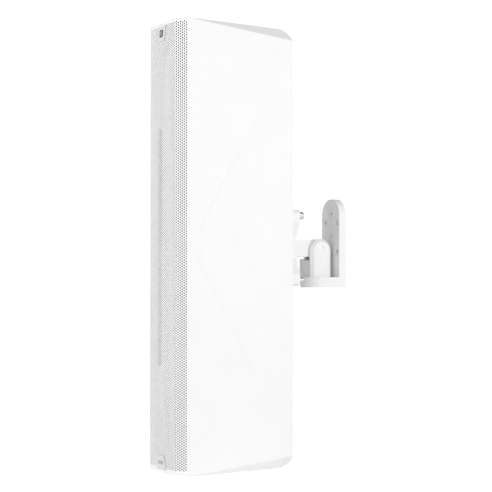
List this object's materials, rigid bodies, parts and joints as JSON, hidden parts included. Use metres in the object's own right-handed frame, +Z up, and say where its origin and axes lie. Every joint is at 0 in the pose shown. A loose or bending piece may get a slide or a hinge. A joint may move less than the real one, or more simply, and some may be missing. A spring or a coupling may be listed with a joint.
{
  "type": "column line array loudspeaker",
  "caption": "White column loudspeaker with a wrap-round perforated grille and faceted sides, on a wall bracket that pans and tilts.",
  "frame": {"origin": "on the wall, behind the crossing of the pan and tilt axes, at half the cabinet's height", "axes": "+Y into the wall, +Z up, the loudspeaker faces -Y"},
  "size_m": [0.176, 0.462, 1],
  "materials": {
    "white_paint": "satin white paint with a fine orange peel",
    "white_grille": "satin white powder coat on perforated sheet",
    "white_casting": "satin white powder coat on a casting",
    "grille_foam": "matte open-cell foam",
    "damping_foam": "matte fibre wadding",
    "baffle_board": "matte black painted board",
    "black_plastic": "matte black moulding",
    "panel_black": "matte black anodised plate",
    "cone": "matte coated cone",
    "cast_frame": "matte black coated casting",
    "magnet": "dark plated steel",
    "circuit_board": "green solder mask",
    "copper": "enamelled copper wire",
    "steel": "bright zinc plated",
    "badge_face": "satin white plate",
    "fibre": "matte fibre washer"
  },
  "bodies": {
    "wall_bracket": {"wall_bracket": "white_casting"},
    "yoke": {"tilt_yoke": "white_casting", "tilt_pin": "steel", "tilt_lock_nut": "steel", "tilt_washer_left": "fibre", "tilt_washer_right": "fibre", "pan_bolt": "steel", "pan_washer": "steel"},
    "loudspeaker": {"speaker_bracket": "white_casting", "bracket_bolt_1": "steel", "bracket_bolt_2": "steel", "bracket_bolt_3": "steel", "bracket_bolt_4": "steel", "cabinet_shell": "white_paint", "front_baffle": "baffle_board", "upper_brace": "baffle_board", "lower_brace": "baffle_board", "perforated_grille": "white_grille", "grille_foam": "grille_foam", "damping_pad": "damping_foam", "top_badge": "badge_face", "bottom_badge": "badge_face", "woofer_1_basket": "cast_frame", "woofer_1_cone": "cone", "woofer_1_magnet": "magnet", "woofer_2_basket": "cast_frame", "woofer_2_cone": "cone", "woofer_2_magnet": "magnet", "woofer_3_basket": "cast_frame", "woofer_3_cone": "cone", "woofer_3_magnet": "magnet", "woofer_4_basket": "cast_frame", "woofer_4_cone": "cone", "woofer_4_magnet": "magnet", "woofer_5_basket": "cast_frame", "woofer_5_cone": "cone", "woofer_5_magnet": "magnet", "woofer_6_basket": "cast_frame", "woofer_6_cone": "cone", "woofer_6_magnet": "magnet", "tweeter_module_1": "black_plastic", "tweeter_module_2": "black_plastic", "tweeter_module_3": "black_plastic", "tweeter_module_4": "black_plastic", "tweeter_bar": "black_plastic", "crossover_board": "circuit_board", "crossover_coil_1": "copper", "crossover_coil_2": "copper", "crossover_capacitor_1": "black_plastic", "crossover_capacitor_2": "black_plastic", "crossover_capacitor_3": "black_plastic", "line_transformer": "magnet", "input_panel": "panel_black", "speaker_socket_1": "black_plastic", "speaker_socket_2": "black_plastic", "terminal_block": "black_plastic"},
    "tap_selector": {"tap_selector_knob": "black_plastic"},
    "coverage_selector": {"coverage_knob": "black_plastic"},
    "voicing_switch": {"voicing_slider": "black_plastic"}
  },
  "joints": [
    {"name": "pan", "type": "hinge", "parent": "wall_bracket", "child": "yoke", "pos_m": [0, -0.055, -0.067], "axis": [0, 0, 1], "range_deg": [-45, 45]},
    {"name": "tilt", "type": "hinge", "parent": "yoke", "child": "loudspeaker", "pos_m": [0, -0.055, 0], "axis": [1, 0, 0], "range_deg": [-10, 10]},
    {"name": "tap_select", "type": "hinge", "parent": "loudspeaker", "child": "tap_selector", "pos_m": [0.024, -0.167, -0.338], "axis": [0, 1, 0], "range_deg": [-60, 90]},
    {"name": "coverage_select", "type": "hinge", "parent": "loudspeaker", "child": "coverage_selector", "pos_m": [-0.024, -0.167, -0.338], "axis": [0, 1, 0], "range_deg": [-30, 30]},
    {"name": "voicing_select", "type": "slide", "parent": "loudspeaker", "child": "voicing_switch", "axis": [1, 0, 0], "range_m": [0, 0.006]}
  ]
}
